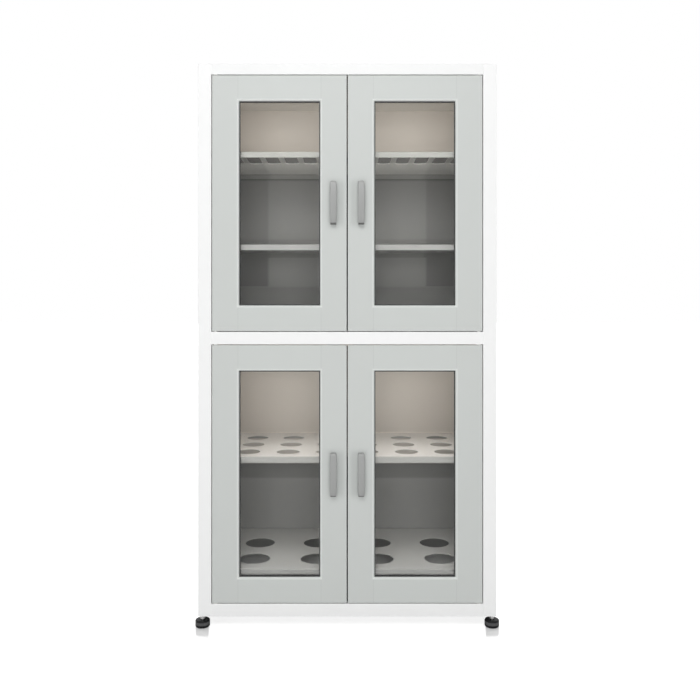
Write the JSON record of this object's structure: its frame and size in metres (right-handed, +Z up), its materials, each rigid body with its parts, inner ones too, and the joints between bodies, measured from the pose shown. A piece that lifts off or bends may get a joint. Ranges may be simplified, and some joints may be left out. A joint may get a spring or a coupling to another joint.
{
  "type": "laboratory storage cabinet",
  "caption": "Free-standing steel laboratory cabinet: glazed double doors above and below, slotted and plain shelves, flask shelf, perforated tray, screw feet.",
  "frame": {"origin": "centre of the bounding box on the floor", "axes": "+Z up, +X to the viewer's right, front with the doors towards -Y"},
  "size_m": [0.92, 0.488, 1.7],
  "materials": {
    "case_coating": "fine semi-gloss powder coat, white",
    "door_coating": "fine satin powder coat, pale grey",
    "shelf_coating": "satin powder coat, warm off-white",
    "clear_glass": "polished clear safety glass",
    "black_rubber": "matt moulded rubber",
    "handle_grey": "satin grey lacquer on cast zinc",
    "plated_steel": "bright zinc plate",
    "white_nylon": "moulded nylon"
  },
  "bodies": {
    "cabinet": {"back_panel_lower": "case_coating", "back_panel_upper": "case_coating", "bottom_panel": "case_coating", "ceiling_panel": "case_coating", "flask_shelf": "shelf_coating", "flask_tray": "shelf_coating", "foot_brackets": "plated_steel", "magnetic_catches": "white_nylon", "middle_divider": "case_coating", "pivot_bushes": "white_nylon", "plain_shelf": "shelf_coating", "shelf_clips": "plated_steel", "shelf_standards": "plated_steel", "side_liner_left": "case_coating", "side_liner_right": "case_coating", "side_panel_left": "case_coating", "side_panel_right": "case_coating", "slotted_shelf": "shelf_coating", "top_panel": "case_coating"},
    "door_upper_left": {"door_upper_left_gasket": "black_rubber", "door_upper_left_glass": "clear_glass", "door_upper_left_handle": "handle_grey", "door_upper_left_inner_frame": "door_coating", "door_upper_left_pivot_blocks": "plated_steel", "door_upper_left_shell": "door_coating", "door_upper_left_strike_plate": "plated_steel"},
    "door_upper_right": {"door_upper_right_gasket": "black_rubber", "door_upper_right_glass": "clear_glass", "door_upper_right_handle": "handle_grey", "door_upper_right_inner_frame": "door_coating", "door_upper_right_pivot_blocks": "plated_steel", "door_upper_right_shell": "door_coating", "door_upper_right_strike_plate": "plated_steel"},
    "door_lower_left": {"door_lower_left_gasket": "black_rubber", "door_lower_left_glass": "clear_glass", "door_lower_left_handle": "handle_grey", "door_lower_left_inner_frame": "door_coating", "door_lower_left_pivot_blocks": "plated_steel", "door_lower_left_shell": "door_coating", "door_lower_left_strike_plate": "plated_steel"},
    "door_lower_right": {"door_lower_right_gasket": "black_rubber", "door_lower_right_glass": "clear_glass", "door_lower_right_handle": "handle_grey", "door_lower_right_inner_frame": "door_coating", "door_lower_right_pivot_blocks": "plated_steel", "door_lower_right_shell": "door_coating", "door_lower_right_strike_plate": "plated_steel"},
    "foot_front_left": {"foot_pad_front_left": "black_rubber", "foot_stud_front_left": "plated_steel"},
    "foot_front_right": {"foot_pad_front_right": "black_rubber", "foot_stud_front_right": "plated_steel"},
    "foot_rear_left": {"foot_pad_rear_left": "black_rubber", "foot_stud_rear_left": "plated_steel"},
    "foot_rear_right": {"foot_pad_rear_right": "black_rubber", "foot_stud_rear_right": "plated_steel"}
  },
  "joints": [
    {"name": "door_upper_left_hinge", "type": "hinge", "parent": "cabinet", "child": "door_upper_left", "pos_m": [-0.3975, -0.2095, 1.28], "axis": [0, 0, -1], "range_deg": [0, 110]},
    {"name": "door_upper_right_hinge", "type": "hinge", "parent": "cabinet", "child": "door_upper_right", "pos_m": [0.3975, -0.2095, 1.28], "axis": [0, 0, 1], "range_deg": [0, 110]},
    {"name": "door_lower_left_hinge", "type": "hinge", "parent": "cabinet", "child": "door_lower_left", "pos_m": [-0.3975, -0.2095, 0.463], "axis": [0, 0, -1], "range_deg": [0, 110]},
    {"name": "door_lower_right_hinge", "type": "hinge", "parent": "cabinet", "child": "door_lower_right", "pos_m": [0.3975, -0.2095, 0.463], "axis": [0, 0, 1], "range_deg": [0, 110]},
    {"name": "foot_front_left_screw", "type": "slide", "parent": "cabinet", "child": "foot_front_left", "axis": [0, 0, -1], "range_m": [0, 0.015]},
    {"name": "foot_front_right_screw", "type": "slide", "parent": "cabinet", "child": "foot_front_right", "axis": [0, 0, -1], "range_m": [0, 0.015]},
    {"name": "foot_rear_left_screw", "type": "slide", "parent": "cabinet", "child": "foot_rear_left", "axis": [0, 0, -1], "range_m": [0, 0.015]},
    {"name": "foot_rear_right_screw", "type": "slide", "parent": "cabinet", "child": "foot_rear_right", "axis": [0, 0, -1], "range_m": [0, 0.015]}
  ]
}
